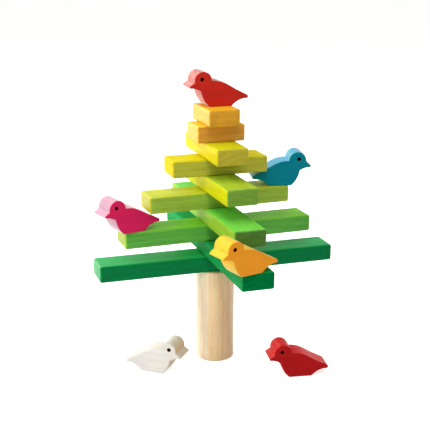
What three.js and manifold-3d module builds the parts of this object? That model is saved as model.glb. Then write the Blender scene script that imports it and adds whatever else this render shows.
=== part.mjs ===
// Balancing tree game: a turned trunk, ten loose bars stacked crosswise as branches, and six birds.
// Nothing is fastened: every piece rests on the one below. Millimetres, +Z up, -Y is the front,
// and the origin is the centre of the trunk's foot.
import * as THREE from 'three';
import { RoundedBoxGeometry } from 'three/addons/geometries/RoundedBoxGeometry.js';
import { mergeVertices, toCreasedNormals } from 'three/addons/utils/BufferGeometryUtils.js';
import Module from 'manifold-3d';

// Trunk
const TRUNK_DIAMETER = 32;
const TRUNK_HEIGHT = 79;
const TRUNK_EDGE_RADIUS = 1.5;

// Branches: five pairs of bars of one section, each pair one step shorter than the pair below
const BAR_WIDTH = 26;
const BAR_THICKNESS = 13.5;
const BAR_EDGE_RADIUS = 1.5;
const SHORTEST_BAR = 40;
const BAR_LENGTH_STEP = 40;

// Birds: one outline sawn from a board, measured from the middle of the flat that the bird stands on
const BIRD_THICKNESS = 19;
const BIRD_EDGE_RADIUS = 0.8;
const BIRD_HEIGHT = 28;
const BASE_LENGTH = 18.5;
const BREAST_SWELL = 5.7;
const BREAST_HEIGHT = 4.5;
const THROAT_FORWARD = 16.5;
const THROAT_HEIGHT = 12.6;
const HEAD_RADIUS = 7.2;
const HEAD_FORWARD = 14.5;
const EYE_DIAMETER = 3.2;
const EYE_FORWARD = 1.1;
const EYE_RISE = 1.2;
const BEAK_LENGTH = 4;
const BEAK_DROP = 4.6;
const BEAK_TIP_RADIUS = 1;
const BEAK_TIP_END_ANGLE = 50;
const FOREHEAD_START_ANGLE = -10;
const BACK_SWEEP = 8.3;
const RUMP_BEHIND = 12.6;
const RUMP_HEIGHT = 13.4;
const RUMP_SLOPE = 0.6;
const TAIL_LENGTH = 13.9;
const TAIL_HEIGHT = 7.2;
const TAIL_TIP_RADIUS = 1.4;
const TAIL_UNDERCUT = 7;

// A perched bird stops this far short of the branch that its back is pushed against, and stands this
// far to the left of the middle of its branch, seen along the way out
const PERCH_CLEARANCE = 0.3;
const BLUE_BIRD_ACROSS = -0.4;
const PINK_BIRD_ACROSS = 2.8;
const YELLOW_BIRD_ACROSS = -9;

// The other birds are set down freely, at these distances from the trunk's axis
const TOP_BIRD_RIGHT = 2.7;
const TOP_BIRD_BACK = 5.4;
const WHITE_BIRD_LEFT = 55;
const WHITE_BIRD_FRONT = 10.5;
const FLOOR_BIRD_RIGHT = 52.5;
const FLOOR_BIRD_FRONT = 56;

// Facets
const TRUNK_SIDES = 48;
const ROUND_STEPS = 2;
const CURVE_STEPS = 7;
const EYE_SIDES = 16;
const CREASE_ANGLE = 35;
const OUTLINE_SAMPLES = 400;

const DRILL_OVERRUN = 5;
const WOOD_ROUGHNESS = 0.55;
const CROSSWISE = 90;

const radians = THREE.MathUtils.degToRad;

// From the bottom up: each pair's stain, and how far its lower and upper bar are turned, in degrees
const PAIRS = [
  { stain: 'forest_green', colour: '#0c7a43', turns: [-1.3, -1.2] },
  { stain: 'green', colour: '#549c43', turns: [0.8, -0.6] },
  { stain: 'lime', colour: '#8fae3a', turns: [1.6, 0.5] },
  { stain: 'yellow', colour: '#d9c32c', turns: [-0.5, -0.5] },
  { stain: 'amber', colour: '#d6992a', turns: [0.7, 0.5] },
];

// The bars lie on each other from the trunk's top: lower bar left to right, upper bar front to back
const bars = PAIRS.flatMap((pair, pairIndex) =>
  pair.turns.map((turn, upper) => {
    const level = 2 * pairIndex + upper;
    return {
      name: `branch_${String(level + 1).padStart(2, '0')}_${pair.stain}`,
      colour: pair.colour,
      length: SHORTEST_BAR + (PAIRS.length - 1 - pairIndex) * BAR_LENGTH_STEP,
      bottom: TRUNK_HEIGHT + level * BAR_THICKNESS,
      top: TRUNK_HEIGHT + (level + 1) * BAR_THICKNESS,
      heading: radians(CROSSWISE * upper + turn),
    };
  }),
);

// The trunk is a plain turned cylinder with its two rims eased
function trunkGeometry() {
  const flat = TRUNK_DIAMETER / 2 - TRUNK_EDGE_RADIUS;
  const profile = new THREE.Path();
  profile.moveTo(0, 0);
  profile.lineTo(flat, 0);
  profile.absarc(flat, TRUNK_EDGE_RADIUS, TRUNK_EDGE_RADIUS, -Math.PI / 2, 0);
  profile.absarc(flat, TRUNK_HEIGHT - TRUNK_EDGE_RADIUS, TRUNK_EDGE_RADIUS, 0, Math.PI / 2);
  profile.lineTo(0, TRUNK_HEIGHT);
  return new THREE.LatheGeometry(profile.getPoints(ROUND_STEPS), TRUNK_SIDES).rotateX(Math.PI / 2);
}

// The bird's side view, drawn anticlockwise with the beak towards +X
const headHeight = BIRD_HEIGHT - HEAD_RADIUS;

function birdOutline() {
  const baseEnd = BASE_LENGTH / 2;
  const beakX = HEAD_FORWARD + HEAD_RADIUS + BEAK_LENGTH - BEAK_TIP_RADIUS;
  const beakY = headHeight - BEAK_DROP;
  const chinY = beakY - BEAK_TIP_RADIUS;
  const napeX = HEAD_FORWARD - HEAD_RADIUS;
  const tailX = TAIL_TIP_RADIUS - baseEnd - TAIL_LENGTH;
  const tailUnderside = TAIL_HEIGHT - TAIL_TIP_RADIUS;
  const tailSlope = Math.atan2(RUMP_HEIGHT - TAIL_HEIGHT, -RUMP_BEHIND - tailX);
  const shape = new THREE.Shape();
  shape.moveTo(-baseEnd, 0);
  shape.lineTo(baseEnd, 0);
  shape.quadraticCurveTo(baseEnd + BREAST_SWELL, BREAST_HEIGHT, THROAT_FORWARD, THROAT_HEIGHT);
  shape.quadraticCurveTo((THROAT_FORWARD + beakX) / 2, chinY, beakX, chinY);
  shape.absarc(beakX, beakY, BEAK_TIP_RADIUS, -Math.PI / 2, radians(BEAK_TIP_END_ANGLE));
  shape.absarc(HEAD_FORWARD, headHeight, HEAD_RADIUS, radians(FOREHEAD_START_ANGLE), Math.PI);
  shape.bezierCurveTo(
    napeX - BACK_SWEEP, headHeight,
    BACK_SWEEP - RUMP_BEHIND, RUMP_HEIGHT + RUMP_SLOPE * BACK_SWEEP,
    -RUMP_BEHIND, RUMP_HEIGHT,
  );
  shape.absarc(tailX, TAIL_HEIGHT, TAIL_TIP_RADIUS, Math.PI / 2 + tailSlope, 1.5 * Math.PI);
  shape.quadraticCurveTo(tailX + TAIL_UNDERCUT, tailUnderside, -baseEnd, 0);
  return shape;
}

const outline = birdOutline();

const wasm = await Module();
wasm.setup();

function toSolid(geometry) {
  geometry.deleteAttribute('normal');
  geometry.deleteAttribute('uv');
  const { attributes, index } = mergeVertices(geometry);
  const mesh = { numProp: 3, vertProperties: attributes.position.array, triVerts: index.array };
  return new wasm.Manifold(new wasm.Mesh(mesh));
}

function toGeometry(solid) {
  const { vertProperties, triVerts } = solid.getMesh();
  const geometry = new THREE.BufferGeometry();
  geometry.setAttribute('position', new THREE.BufferAttribute(vertProperties, 3));
  geometry.setIndex(new THREE.BufferAttribute(triVerts, 1));
  return toCreasedNormals(geometry, radians(CREASE_ANGLE));
}

// A bird is the outline at the board's thickness, its edges eased, with the eye drilled right through
function birdGeometry() {
  const depth = BIRD_THICKNESS - 2 * BIRD_EDGE_RADIUS;
  const board = new THREE.ExtrudeGeometry(outline, {
    depth,
    curveSegments: CURVE_STEPS,
    bevelSize: BIRD_EDGE_RADIUS,
    bevelOffset: -BIRD_EDGE_RADIUS,
    bevelThickness: BIRD_EDGE_RADIUS,
    bevelSegments: ROUND_STEPS,
  });
  board.translate(0, 0, -depth / 2);
  const eyeRadius = EYE_DIAMETER / 2;
  const drillLength = BIRD_THICKNESS + 2 * DRILL_OVERRUN;
  const drill = new THREE.CylinderGeometry(eyeRadius, eyeRadius, drillLength, EYE_SIDES);
  drill.rotateX(Math.PI / 2);
  drill.translate(HEAD_FORWARD + EYE_FORWARD, headHeight + EYE_RISE, 0);
  return toGeometry(toSolid(board).subtract(toSolid(drill))).rotateX(Math.PI / 2);
}

// How far forward on the bird its back rises past the gap under a branch two levels up
const gapUnderBranch = BAR_THICKNESS - PERCH_CLEARANCE;
const tooTall = outline.getSpacedPoints(OUTLINE_SAMPLES).filter((point) => point.y > gapUnderBranch);
const backRise = Math.min(...tooTall.map((point) => point.x));

// A perched bird stands on one end of a bar, pushed back until it meets the end of the bar two levels
// up. end is +1 or -1 along that bar, yaw is the beak's turn from the way out over that end, in degrees,
// and across is the bird's place to the left of that way.
function perch(level, end, yaw, across) {
  const blocking = bars[level + 2];
  const out = blocking.heading + (end < 0 ? Math.PI : 0);
  const swing = radians(yaw);
  const halfSide = (BIRD_THICKNESS / 2) * Math.abs(Math.sin(swing));
  const reach = blocking.length / 2 + PERCH_CLEARANCE + halfSide - backRise * Math.cos(swing);
  return {
    x: reach * Math.cos(out) - across * Math.sin(out),
    y: reach * Math.sin(out) + across * Math.cos(out),
    z: bars[level].top,
    heading: out + swing,
  };
}

const stand = (x, y, z, degrees) => ({ x, y, z, heading: radians(degrees) });

const BIRDS = [
  { name: 'red_bird_top', colour: '#b3271d', ...stand(TOP_BIRD_RIGHT, TOP_BIRD_BACK, bars.at(-1).top, 179) },
  { name: 'blue_bird', colour: '#0a7485', ...perch(4, 1, -13, BLUE_BIRD_ACROSS) },
  { name: 'pink_bird', colour: '#c41f50', ...perch(2, -1, 12, PINK_BIRD_ACROSS) },
  { name: 'yellow_bird', colour: '#e39624', ...perch(1, -1, -76, YELLOW_BIRD_ACROSS) },
  { name: 'white_bird', colour: '#e8e2d6', ...stand(-WHITE_BIRD_LEFT, -WHITE_BIRD_FRONT, 0, -41) },
  { name: 'red_bird_floor', colour: '#ab1c20', ...stand(FLOOR_BIRD_RIGHT, -FLOOR_BIRD_FRONT, 0, 170) },
];

const game = new THREE.Group();

function add(name, geometry, colour) {
  const wood = new THREE.MeshStandardMaterial({ color: colour, roughness: WOOD_ROUGHNESS, metalness: 0 });
  const mesh = new THREE.Mesh(geometry, wood);
  mesh.name = name;
  game.add(mesh);
  return mesh;
}

add('trunk', trunkGeometry(), '#dcbb90');

for (const bar of bars) {
  const block = new RoundedBoxGeometry(bar.length, BAR_WIDTH, BAR_THICKNESS, ROUND_STEPS, BAR_EDGE_RADIUS);
  const mesh = add(bar.name, block, bar.colour);
  mesh.position.z = (bar.bottom + bar.top) / 2;
  mesh.rotation.z = bar.heading;
}

for (const bird of BIRDS) {
  const mesh = add(bird.name, birdGeometry(), bird.colour);
  mesh.position.set(bird.x, bird.y, bird.z);
  mesh.rotation.z = bird.heading;
}

export default game;
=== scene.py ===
"""Balancing tree game: a wooden stacking toy of a turned trunk, ten crossed branches and six birds.

Metres, +Z up, -Y is the front. The pieces lie loose on each other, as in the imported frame.
"""
import math

import bmesh
import bpy
from mathutils import Matrix, Vector
from mathutils.geometry import interpolate_bezier


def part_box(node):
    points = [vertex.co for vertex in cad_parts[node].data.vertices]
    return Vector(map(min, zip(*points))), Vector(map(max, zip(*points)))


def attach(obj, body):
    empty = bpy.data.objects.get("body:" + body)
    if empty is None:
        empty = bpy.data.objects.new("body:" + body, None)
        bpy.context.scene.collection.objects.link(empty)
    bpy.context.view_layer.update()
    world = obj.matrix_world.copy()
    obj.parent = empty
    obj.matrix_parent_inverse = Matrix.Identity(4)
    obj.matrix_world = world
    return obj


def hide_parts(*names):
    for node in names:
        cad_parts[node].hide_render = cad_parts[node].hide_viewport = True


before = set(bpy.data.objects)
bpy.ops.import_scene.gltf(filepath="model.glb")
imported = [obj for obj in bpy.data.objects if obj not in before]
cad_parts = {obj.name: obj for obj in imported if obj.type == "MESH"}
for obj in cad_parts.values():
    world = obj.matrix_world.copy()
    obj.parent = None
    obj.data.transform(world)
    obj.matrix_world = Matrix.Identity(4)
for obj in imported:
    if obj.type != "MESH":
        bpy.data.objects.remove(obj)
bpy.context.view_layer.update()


# Trunk: a plain cylinder of rubberwood, turned on a lathe, its two rims eased with abrasive paper.
# It has a clear satin lacquer and no stain. A paler strip along its left side, which faces the lamps, is a
# painted highlight. It stands loose on its end, and a branch lies across its top.
MM = 0.001
EASED_STEPS = 4
SHARP_ANGLE = math.radians(32)
TRUNK_SIDES = 128
TRUNK_RIM_EASE = 1.5 * MM
TRUNK_PITH = (21 * MM, 34 * MM, 0)
HEARTWOOD = "#f8daaf"
# A painted highlight: the paler colour on the trunk's left side, which faces the lamps, and the way and
# spread of that side.
LEFT_SIDE_HIGHLIGHT = "#f7e4cd"
HIGHLIGHT_MIDDLE = math.radians(175)
HIGHLIGHT_SPREAD = math.radians(55)
trunk_low, trunk_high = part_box("trunk")
trunk_radius = (trunk_high.x - trunk_low.x) / 2
trunk_height = trunk_high.z - trunk_low.z


def linear(colour):
    """Turns an sRGB hex colour into the linear colour that a shader takes."""
    channels = [int(colour[place:place + 2], 16) / 255 for place in (1, 3, 5)]
    return [c / 12.92 if c <= 0.04045 else ((c + 0.055) / 1.055) ** 2.4 for c in channels] + [1.0]


def add(tree, kind, inputs, **settings):
    """Adds a node with its settings, and links or sets its inputs."""
    made = tree.nodes.new(kind)
    for name, value in settings.items():
        setattr(made, name, value)
    for name, value in inputs.items():
        if isinstance(value, bpy.types.NodeSocket):
            tree.links.new(value, made.inputs[name])
        else:
            made.inputs[name].default_value = value
    return made


# Sizes of the figure in rubberwood. The real vessels are about 0.2 mm wide, too fine to show from here,
# so the fibres and pores are drawn about four times as wide. A wave repeats every pi / 10 at a scale of 1.
FIBRE_SIZE = Vector((38, 0.9, 0.9)) * MM
PORE_SIZE = Vector((9, 0.55, 0.55)) * MM
CLOUD_SIZE = Vector((42, 14, 14)) * MM
FIGURE_ROUGHNESS = 0.6
RING_SPACING = 5.2 * MM
RING_WANDER = Vector((90, 16, 16)) * MM
RING_BEND = 14.0
WAVE_PERIOD = math.pi / 10
PALE_CLOUD = (1.14, 1.12, 1.06, 1)
DARK_GRAIN = (0.78, 0.68, 0.54, 1)
RING_SHARE = 0.3
PALE_FIBRE_SHARE = 0.6
DARK_FIBRE_SHARE = 0.4
PORE_SHARE = 0.5
PORE_DEPTH = 0.06 * MM
PORE_BUMP = 0.5
LACQUER_ROUGHNESS = 0.36
LACQUER_GLOSS = 0.06
LACQUER_IOR = 1.5
ROUGHER_GRAIN = 0.06
SMOOTHER_GRAIN = 0.04
SHEEN_ROUGHNESS = 0.3


def lacquered_rubberwood(
        name, colours, turn, pith, contrast=1.0, gloss=LACQUER_GLOSS, roughness=LACQUER_ROUGHNESS,
        ior=LACQUER_IOR, sheen=0.0):
    """Rubberwood under a clear satin lacquer, stained or natural.

    The eye sees fibres running one way, faint growth rings that turn to arcs on the sawn ends, short dark
    pores, and clouds where the wood took more or less colour. The grain runs along X before turn.
    The colours paint light and shade: they run from the first to the last by an attribute that each piece
    sets by the way its faces look. Where that is below zero, the colour is darker still, partly stain taken
    up by end grain and partly painted shade. On the trunk they run from heartwood to a paler painted
    highlight.
    A sheen stands for the raised fibres of a sawn edge, which look paler at a glance.
    """
    material = bpy.data.materials.new(name)
    material.use_nodes = True
    tree = material.node_tree
    tree.nodes.clear()
    place = add(tree, "ShaderNodeTexCoord", {}).outputs["Object"]

    figures = []
    for size, detail in ((FIBRE_SIZE, 3.0), (PORE_SIZE, 1.0), (CLOUD_SIZE, 5.0), (RING_WANDER, 2.0)):
        inputs = {"Vector": place, "Rotation": turn, "Scale": size}
        along = add(tree, "ShaderNodeMapping", inputs, vector_type="TEXTURE").outputs["Vector"]
        inputs = {"Vector": along, "Scale": 1.0, "Detail": detail, "Roughness": FIGURE_ROUGHNESS}
        figures.append(add(tree, "ShaderNodeTexNoise", inputs).outputs["Fac"])
    fibre, pore, cloud, wander = figures

    inputs = {"Vector": place, "Location": pith, "Rotation": turn}
    about_pith = add(tree, "ShaderNodeMapping", inputs, vector_type="TEXTURE").outputs["Vector"]
    bend = add(tree, "ShaderNodeMapRange", {"Value": wander, "To Max": RING_BEND}).outputs["Result"]
    inputs = {"Vector": about_pith, "Scale": WAVE_PERIOD / RING_SPACING, "Phase Offset": bend}
    ring = add(tree, "ShaderNodeTexWave", inputs, wave_type="RINGS", rings_direction="X").outputs["Fac"]

    painted_light = add(tree, "ShaderNodeAttribute", {}, attribute_name="painted_light_share").outputs["Fac"]
    tone, middle, lightest = [linear(colour) for colour in colours]
    # The pattern that a layer follows, where on it the layer starts and is full, its share there, its colour
    # and how it lies on the layers before
    layers = [
        # The first three layers are painted light and shade, by the attribute read above: darker below zero,
        # then the middle colour, then the lightest.
        (painted_light, 0.0, -1.0, 1.0, DARK_GRAIN, "MULTIPLY"),
        (painted_light, 0.0, 0.5, 1.0, middle, "MIX"),
        (painted_light, 0.5, 1.0, 1.0, lightest, "MIX"),
        (cloud, 0.36, 0.64, 1.0, PALE_CLOUD, "MULTIPLY"),
        (ring, 0.25, 1.0, RING_SHARE * contrast, DARK_GRAIN, "MULTIPLY"),
        (fibre, 0.42, 0.68, PALE_FIBRE_SHARE * contrast, PALE_CLOUD, "MULTIPLY"),
        (fibre, 0.5, 0.3, DARK_FIBRE_SHARE * contrast, DARK_GRAIN, "MULTIPLY"),
        (pore, 0.6, 0.7, PORE_SHARE * contrast, DARK_GRAIN, "MULTIPLY"),
    ]
    for pattern, start, full, most, colour, how in layers:
        inputs = {"Value": pattern, "From Min": start, "From Max": full, "To Max": most}
        share = add(tree, "ShaderNodeMapRange", inputs).outputs["Result"]
        inputs = {0: share, 6: tone, 7: colour}
        tone = add(tree, "ShaderNodeMix", inputs, data_type="RGBA", blend_type=how).outputs[2]

    inputs = {"Value": pore, "From Min": 0.56, "From Max": 0.7, "To Min": 1.0, "To Max": 0.0}
    pits = add(tree, "ShaderNodeMapRange", inputs).outputs["Result"]
    inputs = {"Strength": PORE_BUMP, "Distance": PORE_DEPTH, "Height": pits}
    pitted = add(tree, "ShaderNodeBump", inputs).outputs["Normal"]
    inputs = {
        "Value": fibre,
        "From Min": 0.35,
        "From Max": 0.65,
        "To Min": roughness + ROUGHER_GRAIN,
        "To Max": roughness - SMOOTHER_GRAIN,
    }
    satin = add(tree, "ShaderNodeMapRange", inputs).outputs["Result"]
    inputs = {
        "Base Color": tone,
        "Roughness": satin,
        "Normal": pitted,
        "IOR": ior,
        "Specular IOR Level": gloss,
        "Sheen Weight": sheen,
        "Sheen Roughness": SHEEN_ROUGHNESS,
    }
    lacquer = add(tree, "ShaderNodeBsdfPrincipled", inputs).outputs["BSDF"]
    add(tree, "ShaderNodeOutputMaterial", {"Surface": lacquer})
    return material


def ease(shape, edges, radius):
    """Rounds edges of a mesh, as abrasive paper does."""
    bmesh.ops.bevel(
        shape, geom=edges, offset=radius, affect="EDGES", segments=EASED_STEPS, profile=0.5, material=-1,
    )


def hold_painted_light(shape, rule):
    """Keeps on each face of a mesh a share of painted light and shade, by a rule on the way it looks."""
    layer = shape.faces.layers.float.new("painted_light_share")
    shape.normal_update()
    for face in shape.faces:
        face[layer] = rule(face.normal)


def finish_piece(name, shape, materials, node):
    """Makes a piece from its mesh, lets it ride on its body, and puts it in the place of its CAD node."""
    mesh = bpy.data.meshes.new(name)
    bmesh.ops.recalc_face_normals(shape, faces=shape.faces)
    shape.to_mesh(mesh)
    shape.free()
    for material in materials:
        mesh.materials.append(material)
    mesh.shade_smooth()
    mesh.set_sharp_from_angle(angle=SHARP_ANGLE)
    piece = bpy.data.objects.new(name, mesh)
    bpy.context.scene.collection.objects.link(piece)
    flat = piece.modifiers.new("flat_faces", "WEIGHTED_NORMAL")
    flat.keep_sharp = True
    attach(piece, node)
    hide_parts(node)


trunk_shape = bmesh.new()
bmesh.ops.create_cone(
    trunk_shape, cap_ends=True, segments=TRUNK_SIDES, radius1=trunk_radius, radius2=trunk_radius,
    depth=trunk_height, matrix=Matrix.Translation((0, 0, trunk_low.z + trunk_height / 2)),
)
rims = []
for edge in trunk_shape.edges:
    start, end = edge.verts
    if abs(start.co.z - end.co.z) < trunk_height / 2:
        rims.append(edge)
ease(trunk_shape, rims, TRUNK_RIM_EASE)
# Painted highlight: faces that look inside the spread of the left side take the paler colour.
highlight_way = Vector((math.cos(HIGHLIGHT_MIDDLE), math.sin(HIGHLIGHT_MIDDLE)))
least_share = math.cos(HIGHLIGHT_SPREAD)
hold_painted_light(trunk_shape, lambda way: float(way.xy.dot(highlight_way) > least_share * way.xy.length))
natural_rubberwood = lacquered_rubberwood(
    "natural_rubberwood_satin", (HEARTWOOD, HEARTWOOD, LEFT_SIDE_HIGHLIGHT),
    turn=(0, -math.pi / 2, 0), pith=TRUNK_PITH, contrast=1.2, gloss=0.5, roughness=0.28,
)
finish_piece("turned_trunk", trunk_shape, [natural_rubberwood], "trunk")


# Branches: ten bars of rubberwood planed to one section, cut in five lengths, their edges eased all round.
# Each pair is dipped in one water stain and lacquered. Its two bars show the stain a little differently,
# partly as they took it and partly as painted light and shade. Each face is coloured by the way it looks, as
# painted light and shade. They lie loose, crosswise, one on the other.
BAR_WIDTH = 26 * MM
BAR_EASE = 1.5 * MM
LONGEST_BAR = 200 * MM
BAR_STEP = 40 * MM
BAR_PITH_DEPTH = 31 * MM
BAR_PITH_SIDE = 8 * MM
BAR_PITH_STEP = 5 * MM
BAR_PITH_PLACES = 4
# From the lowest bar up: its stain, its colours for the faces that look front and back, up, and left and
# right, which are painted shade and painted light, its turn from square in degrees, how much darker its faces
# that look front and back are, partly stain taken up by end grain and partly painted shade, and how strongly
# its lacquer refracts
BARS = [
    ("forest_green", ("#007e48", "#18a858", "#26a05a"), -1.3, 0.0, LACQUER_IOR),
    ("forest_green", ("#00844a", "#1ca454", "#1c9650"), -1.2, 0.3, 1.12),
    ("green", ("#60b650", "#7ace30", "#a4bc38"), 0.8, 0.0, 1.4),
    ("green", ("#5ca058", "#74d850", "#90c236"), -0.6, 1.0, 1.3),
    ("lime", ("#98c04c", "#c0cc2a", "#b8be14"), 1.6, 0.0, LACQUER_IOR),
    ("lime", ("#86c056", "#a6c836", "#ccd210"), 0.5, 0.6, 1.2),
    ("yellow", ("#bac048", "#d0ca10", "#d8c818"), -0.5, 0.0, 1.15),
    ("yellow", ("#c6c248", "#ced41e", "#ded216"), -0.5, 0.3, 1.3),
    ("amber", ("#dea446", "#f2be2c", "#dac252"), 0.7, 0.0, LACQUER_IOR),
    ("amber", ("#e4ac3a", "#f2be2c", "#dac456"), 0.5, 0.2, LACQUER_IOR),
]
for level, (stain, colours, turn, soaked_and_shaded, ior) in enumerate(BARS):
    pair, upper = divmod(level, 2)
    node = f"branch_{level + 1:02d}_{stain}"
    low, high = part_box(node)
    middle = (low + high) / 2
    heading = math.radians(90 * upper + turn)
    size = Vector((LONGEST_BAR - pair * BAR_STEP, BAR_WIDTH, high.z - low.z))
    bar = bmesh.new()
    bmesh.ops.create_cube(bar, size=1.0, matrix=Matrix.Diagonal((*size, 1.0)))
    ease(bar, bar.edges[:], BAR_EASE)
    bmesh.ops.rotate(bar, verts=bar.verts, matrix=Matrix.Rotation(heading, 3, "Z"))
    bmesh.ops.translate(bar, verts=bar.verts, vec=middle)
    # Painted light and shade: faces that look left and right take the lightest colour, tops the middle one,
    # and faces that look front and back the deepest, darker still by the share of end-grain stain and shade.
    hold_painted_light(bar, lambda way: way.x ** 2 + way.z ** 2 / 2 - soaked_and_shaded * way.y ** 2)
    across = Vector((-math.sin(heading), math.cos(heading), 0))
    aside = BAR_PITH_SIDE - BAR_PITH_STEP * (level % BAR_PITH_PLACES)
    pith = middle + across * aside + Vector((0, 0, -BAR_PITH_DEPTH if upper else BAR_PITH_DEPTH))
    wood = lacquered_rubberwood(
        f"{stain}_stained_rubberwood_{level + 1:02d}", colours, turn=(0, 0, heading), pith=pith, ior=ior,
    )
    finish_piece(f"{stain}_bar_{level + 1:02d}", bar, [wood], node)


# Birds: six pieces of one outline, sawn from a 19 mm board, their edges eased, an eye bored through each.
# Each is stained in its own colour and lacquered. Its sawn edges are coloured apart from its flat sides:
# lighter on the coloured birds, as painted light, and tan and grey on the white one, as painted shade. They
# stand loose on the branches and on the table.
BIRD_THICKNESS = 19 * MM
BIRD_EASE = 0.8 * MM
BIRD_PITH_DEPTH = 35 * MM
BASE_END = 9.25 * MM
HEAD_CENTRE = Vector((14.5, 20.8)) * MM
HEAD_RADIUS = 7.2 * MM
HEAD_FRONT = -10
BEAK_CENTRE = Vector((24.7, 16.2)) * MM
BEAK_RADIUS = 1.0 * MM
BEAK_TOP = 50
TAIL_CENTRE = Vector((-21.75, 7.2)) * MM
TAIL_RADIUS = 1.4 * MM
THROAT = Vector((16.5, 12.6)) * MM
BREAST = Vector((14.95, 4.5)) * MM
RUMP = Vector((-12.6, 13.4)) * MM
BACK_SWEEP = 8.3 * MM
RUMP_SLOPE = 0.6
TAIL_UNDERCUT = 7 * MM
CURVE_POINTS = 15
EYE_CENTRE = Vector((15.6, 22.0)) * MM
EYE_RADIUS = 1.6 * MM
EYE_RIM = 0.25 * MM
EYE_SIDES = 32
WELD = 0.001 * MM
# The walls of the bored eye are dark brown, as painted shade deep in the hole.
BORE_SHADE = "#6e2e14"


def curve(start, leave, arrive, end):
    """Points along a Bezier curve, without its last one."""
    return [point.to_2d() for point in interpolate_bezier(start, leave, arrive, end, CURVE_POINTS)[:-1]]


def bow(start, pull, end):
    """Points along a curve that one handle pulls, without its last one."""
    return curve(start, start.lerp(pull, 2 / 3), end.lerp(pull, 2 / 3), end)


def arc(centre, radius, first, last):
    """Points along an arc, anticlockwise between two angles in degrees."""
    angles = [math.radians(first + (last - first) * step / CURVE_POINTS) for step in range(CURVE_POINTS + 1)]
    return [centre + radius * Vector((math.cos(angle), math.sin(angle))) for angle in angles]


def bird_outline():
    """The bird's side view, anticlockwise from the back end of its base, with the beak towards +X."""
    base_back = Vector((-BASE_END, 0))
    base_front = Vector((BASE_END, 0))
    chin = BEAK_CENTRE - Vector((0, BEAK_RADIUS))
    nape = HEAD_CENTRE - Vector((HEAD_RADIUS, 0))
    to_nape = nape - Vector((BACK_SWEEP, 0))
    to_rump = RUMP + BACK_SWEEP * Vector((1, RUMP_SLOPE))
    tail_under = TAIL_CENTRE - Vector((0, TAIL_RADIUS))
    tail_rise = RUMP - TAIL_CENTRE
    tail_slope = math.degrees(math.atan2(tail_rise.y, tail_rise.x))
    return [
        base_back,
        *bow(base_front, BREAST, THROAT),
        *bow(THROAT, Vector(((THROAT.x + BEAK_CENTRE.x) / 2, chin.y)), chin),
        *arc(BEAK_CENTRE, BEAK_RADIUS, -90, BEAK_TOP),
        *arc(HEAD_CENTRE, HEAD_RADIUS, HEAD_FRONT, 180),
        *curve(nape, to_nape, to_rump, RUMP)[1:],
        RUMP,
        *arc(TAIL_CENTRE, TAIL_RADIUS, 90 + tail_slope, 270),
        *bow(tail_under, tail_under + Vector((TAIL_UNDERCUT, 0)), base_back)[1:],
    ]


def sawn_bird():
    """One bird at the origin, on its base, beak towards +X, its edges eased and its eye not yet bored."""
    board = bmesh.new()
    side = board.faces.new([board.verts.new((x, BIRD_THICKNESS / 2, z)) for x, z in bird_outline()])
    other = bmesh.ops.extrude_face_region(board, geom=[side], use_keep_orig=True)["geom"]
    other = [part for part in other if isinstance(part, bmesh.types.BMVert)]
    bmesh.ops.translate(board, verts=other, vec=(0, -BIRD_THICKNESS, 0))
    bmesh.ops.recalc_face_normals(board, faces=board.faces)
    rims = []
    for edge in board.edges:
        start, end = edge.verts
        if abs(start.co.y - end.co.y) < BIRD_THICKNESS / 2:
            rims.append(edge)
    ease(board, rims, BIRD_EASE)
    return board


def bored(board):
    """Bores the eye through a board: a spindle with flared ends is taken away from it."""
    half = BIRD_THICKNESS / 2
    flare = EYE_RADIUS + EYE_RIM
    profile = [(0, half + EYE_RIM), (flare + EYE_RIM, half + EYE_RIM), (EYE_RADIUS, half - EYE_RIM)]
    profile += [(radius, -y) for radius, y in reversed(profile)]
    drill = bmesh.new()
    points = [drill.verts.new((EYE_CENTRE.x + radius, y, EYE_CENTRE.y)) for radius, y in profile]
    edges = [drill.edges.new(ends) for ends in zip(points, points[1:])]
    bmesh.ops.spin(
        drill, geom=points + edges, cent=(EYE_CENTRE.x, 0, EYE_CENTRE.y), axis=(0, 1, 0), angle=2 * math.pi,
        steps=EYE_SIDES, use_merge=True,
    )
    bmesh.ops.remove_doubles(drill, verts=drill.verts, dist=WELD)
    bmesh.ops.recalc_face_normals(drill, faces=drill.faces)
    scratch = []
    for shape in (board, drill):
        mesh = bpy.data.meshes.new("scratch")
        shape.to_mesh(mesh)
        shape.free()
        scratch.append(bpy.data.objects.new("scratch", mesh))
        bpy.context.scene.collection.objects.link(scratch[-1])
    cut = scratch[0].modifiers.new("eye", "BOOLEAN")
    cut.object = scratch[1]
    cut.operation = "DIFFERENCE"
    cut.solver = "EXACT"
    result = bmesh.new()
    result.from_object(scratch[0], bpy.context.evaluated_depsgraph_get())
    for used in scratch:
        mesh = used.data
        bpy.data.objects.remove(used)
        bpy.data.meshes.remove(mesh)
    for face in result.faces:
        offset = face.calc_center_median() - Vector((EYE_CENTRE.x, 0, EYE_CENTRE.y))
        face.material_index = int(math.hypot(offset.x, offset.z) < EYE_RADIUS)
    return result


# Painted shade: the dark brown walls of each bored eye.
shaded_bore = lacquered_rubberwood(
    "bore_painted_shade_rubberwood", [BORE_SHADE] * 3, turn=(0, 0, 0), pith=(0, 0, 0), gloss=0.0,
)
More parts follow.
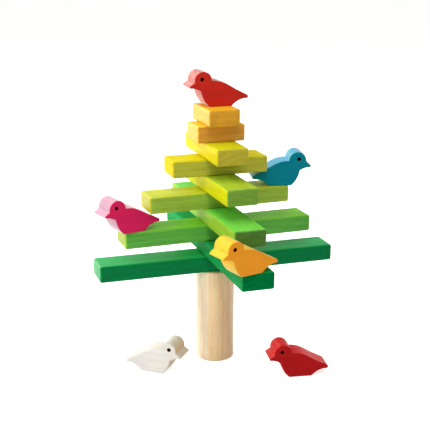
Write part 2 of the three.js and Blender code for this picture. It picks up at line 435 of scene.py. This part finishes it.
# The bird, its colours for the flat sides, the back and the other sawn edges, which paint light and shade on
# the edges, how far its back goes towards the edge colour, its sheen, and the way its beak points in degrees
BIRDS = [
    ("red_bird_top", ("#c92b22", "#c92b22", "#b84d44"), 1.0, 1.0, 179),
    ("blue_bird", ("#00849f", "#00849f", "#28aedb"), 1.0, 0.85, -13.5),
    ("pink_bird", ("#de2165", "#de2165", "#c898b2"), 1.0, 1.0, 193.6),
    ("yellow_bird", ("#fca62c", "#fca62c", "#f2c834"), 1.0, 0.4, 193.4),
    ("white_bird", ("#ebeae9", "#cfcecf", "#dfc6a8"), 0.55, 0.0, -41),
    ("red_bird_floor", ("#b9171e", "#b9171e", "#d8070d"), 1.0, 0.1, 170),
]
for node, colours, back_light_share, sheen, degrees in BIRDS:
    heading = math.radians(degrees)
    bird = bored(sawn_bird())
    # Painted light and shade: the sawn edges that face forwards and back take the edge colour, the back its
    # share of it, and the flat sides their own.
    hold_painted_light(bird, lambda way: way.x ** 2 + back_light_share * way.z ** 2)
    bmesh.ops.rotate(bird, verts=bird.verts, matrix=Matrix.Rotation(heading, 3, "Z"))
    low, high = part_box(node)
    middle = (low + high) / 2
    reach = [[vert.co[axis] for vert in bird.verts] for axis in range(3)]
    here = Vector([(min(values) + max(values)) / 2 for values in reach])
    bmesh.ops.translate(bird, verts=bird.verts, vec=(middle.x - here.x, middle.y - here.y, low.z))
    wood = lacquered_rubberwood(
        f"{node}_stained_rubberwood", colours, turn=(0, 0, heading),
        pith=middle - Vector((0, 0, BIRD_PITH_DEPTH)), contrast=0.25, sheen=sheen,
    )
    finish_piece(f"sawn_{node}", bird, [wood, shaded_bore], node)


# Table: a plain white sheet that runs out of sight, under a white sky. It is white to the eye and keeps
# the soft shadow of what stands on it.
TABLE_HALF = 12.0
PAPER = "#e0e0e0"
SHEET_SHADE = 0.8
SHEET_GLOW = 0.72
table_shape = bmesh.new()
bmesh.ops.create_grid(table_shape, x_segments=1, y_segments=1, size=TABLE_HALF)
table_mesh = bpy.data.meshes.new("table")
table_shape.to_mesh(table_mesh)
table_shape.free()
table = bpy.data.objects.new("table", table_mesh)
bpy.context.scene.collection.objects.link(table)


def seen_rays(tree):
    """1 for a ray that shows the surface itself: straight, in a reflection or through glass."""
    path = add(tree, "ShaderNodeLightPath", {}).outputs
    inputs = {0: path["Is Camera Ray"], 1: path["Is Glossy Ray"]}
    both = add(tree, "ShaderNodeMath", inputs, operation="MAXIMUM").outputs[0]
    inputs = {0: both, 1: path["Is Transmission Ray"]}
    return add(tree, "ShaderNodeMath", inputs, operation="MAXIMUM").outputs[0]


white_sheet = bpy.data.materials.new("white_paper_sheet")
white_sheet.use_nodes = True
tree = white_sheet.node_tree
tree.nodes.clear()
paper = add(tree, "ShaderNodeBsdfDiffuse", {"Color": linear(PAPER)}).outputs[0]
shade = add(tree, "ShaderNodeBsdfDiffuse", {"Color": (SHEET_SHADE, SHEET_SHADE, SHEET_SHADE, 1)}).outputs[0]
glow = add(tree, "ShaderNodeEmission", {"Color": (1, 1, 1, 1), "Strength": SHEET_GLOW}).outputs[0]
seen = add(tree, "ShaderNodeAddShader", {0: shade, 1: glow}).outputs[0]
sheet = add(tree, "ShaderNodeMixShader", {0: seen_rays(tree), 1: paper, 2: seen}).outputs[0]
add(tree, "ShaderNodeOutputMaterial", {"Surface": sheet})
table_mesh.materials.append(white_sheet)


# Light: a white surround gives the fill, warmer from the right. Three large softboxes stand behind, on the
# left and overhead, and a smaller one in front. A small one, low and behind on the left, glances off what
# faces left.
SURROUND = 0.36
WHITE = "#ffffff"
WARM_WHITE = "#fff8ee"
WARM_FILL = "#f8dfc0"
WARM_FROM = -0.2
AIM = Vector((-0.327, 0, 123.605)) * MM
world = bpy.data.worlds.new("white_surround")
bpy.context.scene.world = world
world.use_nodes = True
tree = world.node_tree
tree.nodes.clear()
way = add(tree, "ShaderNodeTexCoord", {}).outputs["Generated"]
way = add(tree, "ShaderNodeSeparateXYZ", {"Vector": way}).outputs
right = add(tree, "ShaderNodeMapRange", {"Value": way["X"], "From Min": WARM_FROM}).outputs["Result"]
inputs = {0: right, 6: linear(WHITE), 7: linear(WARM_FILL)}
fill = add(tree, "ShaderNodeMix", inputs, data_type="RGBA").outputs[2]
room = add(tree, "ShaderNodeBackground", {"Color": fill, "Strength": SURROUND}).outputs[0]
backdrop = add(tree, "ShaderNodeBackground", {"Color": linear(WHITE), "Strength": 1.0}).outputs[0]
sky = add(tree, "ShaderNodeMixShader", {0: seen_rays(tree), 1: room, 2: backdrop}).outputs[0]
add(tree, "ShaderNodeOutputWorld", {"Surface": sky})


def softbox(name, place, size, power, colour):
    """A square area light that faces the toy."""
    lamp = bpy.data.lights.new(name, "AREA")
    lamp.size = size
    lamp.energy = power
    lamp.color = linear(colour)[:3]
    holder = bpy.data.objects.new(name, lamp)
    holder.location = place
    holder.rotation_euler = (AIM - holder.location).to_track_quat("-Z", "Y").to_euler()
    holder.visible_camera = False
    bpy.context.scene.collection.objects.link(holder)


softbox("back_softbox", (-0.3, 1.0, 0.55), size=0.8, power=7.5, colour=WARM_WHITE)
softbox("left_softbox", (-1.0, 0.1, 0.75), size=0.8, power=6.2, colour=WHITE)
softbox("front_softbox", (-0.3, -0.75, 1.15), size=0.5, power=4.8, colour=WARM_WHITE)
softbox("overhead_softbox", (-0.2, -0.1, 1.3), size=0.8, power=4.0, colour=WARM_WHITE)
softbox("glancing_softbox", (-0.32, 0.38, 0.12), size=0.28, power=0.9, colour=WHITE)


# Camera: a long lens a little above the toy and to its left, as the photograph was taken. Its place, length
# and roll were fitted to the edges of the bars there.
IMAGE_SIDE = 430
FOCAL_PIXELS = 1004.04
SENSOR_WIDTH = 36.0
NEAREST = 0.01
CAMERA_PLACE = Vector((-271.5, -745.04, 350.39)) * MM
ROLL = math.radians(0.381)
lens = bpy.data.cameras.new("camera")
lens.sensor_width = SENSOR_WIDTH
lens.lens = SENSOR_WIDTH * FOCAL_PIXELS / IMAGE_SIDE
lens.clip_start = NEAREST
camera = bpy.data.objects.new("camera", lens)
facing = (AIM - CAMERA_PLACE).to_track_quat("-Z", "Y").to_matrix().to_4x4()
camera.matrix_world = Matrix.Translation(CAMERA_PLACE) @ facing @ Matrix.Rotation(ROLL, 4, "Z")
bpy.context.scene.collection.objects.link(camera)
bpy.context.scene.camera = camera
bpy.context.scene.view_settings.view_transform = "Standard"
